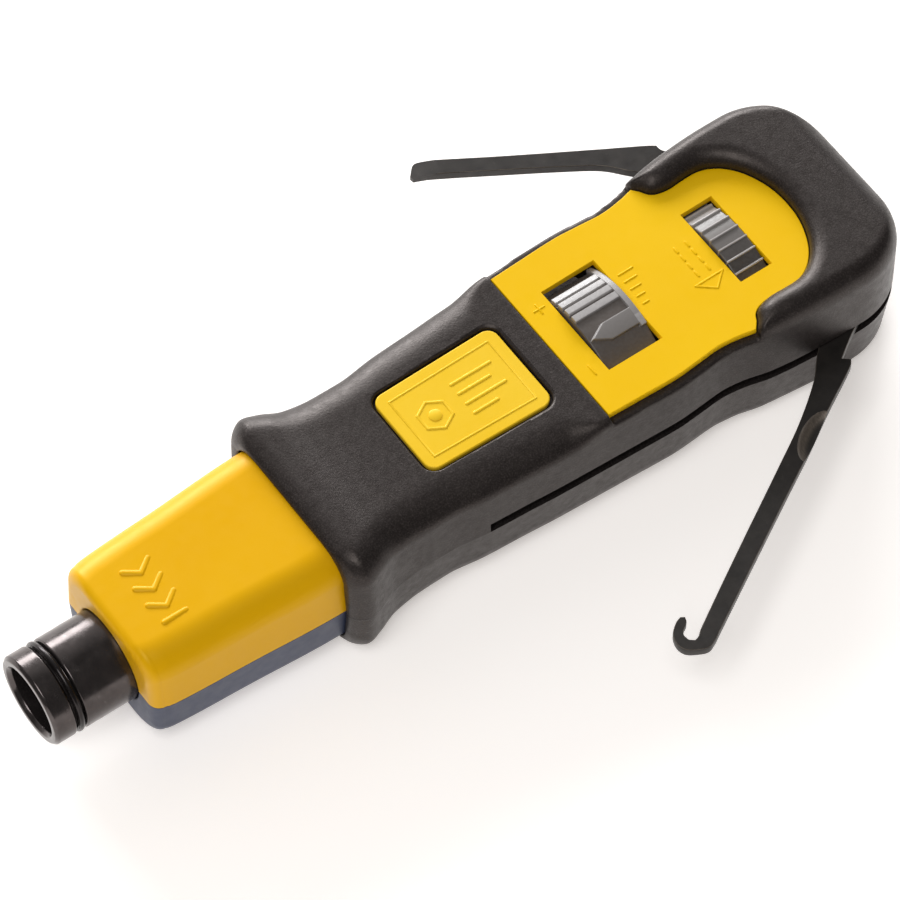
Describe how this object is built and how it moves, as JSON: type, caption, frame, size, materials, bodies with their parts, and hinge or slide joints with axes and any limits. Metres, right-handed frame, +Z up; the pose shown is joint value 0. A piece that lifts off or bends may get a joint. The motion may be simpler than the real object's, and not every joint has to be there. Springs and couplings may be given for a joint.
{
  "type": "punch down tool",
  "caption": "Impact punch down tool: steel nozzle on a sliding two-colour head, rubbery two-shell handle with impact dial and release wheel, fold-out hook and spudger.",
  "frame": {"origin": "on the flat underside of the handle's lower shell, midway between the nozzle's rim and the butt, in the symmetry plane", "axes": "+X along the tool from nozzle to butt, +Z up through the top plate, underside facing -Z"},
  "size_m": [0.1297, 0.0826, 0.023],
  "materials": {
    "yellow_plastic": "satin moulded ABS",
    "slate_plastic": "satin moulded ABS",
    "black_rubber": "fine-grained soft touch",
    "grey_plastic": "satin moulded",
    "black_steel": "glossy black oxide",
    "black_oxide_steel": "satin black oxide sheet",
    "bright_steel": "turned steel",
    "brass": "turned"
  },
  "bodies": {
    "handle": {"handle_upper_shell": "black_rubber", "handle_lower_shell": "black_rubber", "top_plate": "yellow_plastic", "badge_plate": "yellow_plastic", "guide_sleeve": "bright_steel", "trip_cam": "bright_steel", "dial_bush": "brass", "rod_bush": "brass", "return_spring": "bright_steel", "release_spring": "bright_steel", "hook_pivot_pin": "bright_steel", "spudger_pivot_pin": "bright_steel", "shell_screw_1": "bright_steel", "shell_screw_2": "bright_steel", "shell_screw_3": "bright_steel", "shell_screw_4": "bright_steel"},
    "head": {"nozzle_tube": "black_steel", "nozzle_ring": "black_steel", "head_upper_shell": "yellow_plastic", "head_lower_shell": "slate_plastic", "head_screw_1": "bright_steel", "head_screw_2": "bright_steel", "drive_tube": "bright_steel"},
    "lock": {"blade_lock": "bright_steel"},
    "hammer": {"hammer": "bright_steel", "main_spring": "bright_steel", "trip_spring": "bright_steel"},
    "trip": {"trip_block": "bright_steel"},
    "dial": {"impact_dial": "grey_plastic"},
    "seat": {"spring_seat": "brass"},
    "release": {"release_wheel": "grey_plastic", "release_rod": "bright_steel"},
    "hook": {"hook_arm": "black_oxide_steel"},
    "spudger": {"spudger_arm": "black_oxide_steel"}
  },
  "joints": [
    {"name": "head_slide", "type": "slide", "parent": "handle", "child": "head", "axis": [1, 0, 0], "range_m": [0, 0.007], "stiffness_N_per_m": 300, "springref_m": -0.004, "deforming": ["return_spring"]},
    {"name": "hammer_slide", "type": "slide", "parent": "handle", "child": "hammer", "axis": [1, 0, 0], "range_m": [0, 0.007], "deforming": ["main_spring"]},
    {"name": "trip_slide", "type": "slide", "parent": "hammer", "child": "trip", "axis": [0, 0, 1], "range_m": [-0.0008, 0], "deforming": ["trip_spring"]},
    {"name": "dial_turn", "type": "hinge", "parent": "handle", "child": "dial", "pos_m": [0.023, 0, 0.01], "axis": [1, 0, 0], "range_deg": [-32, 0]},
    {"name": "seat_slide", "type": "slide", "parent": "handle", "child": "seat", "axis": [1, 0, 0], "range_m": [-0.0008, 0]},
    {"name": "release_turn", "type": "hinge", "parent": "handle", "child": "release", "pos_m": [0.0435, 0, 0.01], "axis": [1, 0, 0], "range_deg": [0, 25], "stiffness_Nm_per_rad": 0.01, "springref_deg": -17.19, "deforming": ["release_spring"]},
    {"name": "lock_turn", "type": "hinge", "parent": "head", "child": "lock", "pos_m": [-0.048, 0, 0.01], "axis": [1, 0, 0], "range_deg": [0, 25]},
    {"name": "hook_pivot", "type": "hinge", "parent": "handle", "child": "hook", "pos_m": [0.0589, -0.01, 0.0109], "axis": [0, 0, 1], "range_deg": [-31, 149]},
    {"name": "spudger_pivot", "type": "hinge", "parent": "handle", "child": "spudger", "pos_m": [0.0606, 0.0096, 0.0109], "axis": [0, 0, 1], "range_deg": [-146, 33]}
  ],
  "couplings": [
    {"joint": "hammer_slide", "follows": "head_slide", "ratio": 1},
    {"joint": "trip_slide", "follows": "head_slide", "ratio": -0.1142},
    {"joint": "dial_turn", "follows": "seat_slide", "rad_per_m": 698},
    {"joint": "lock_turn", "follows": "release_turn", "ratio": 1}
  ]
}
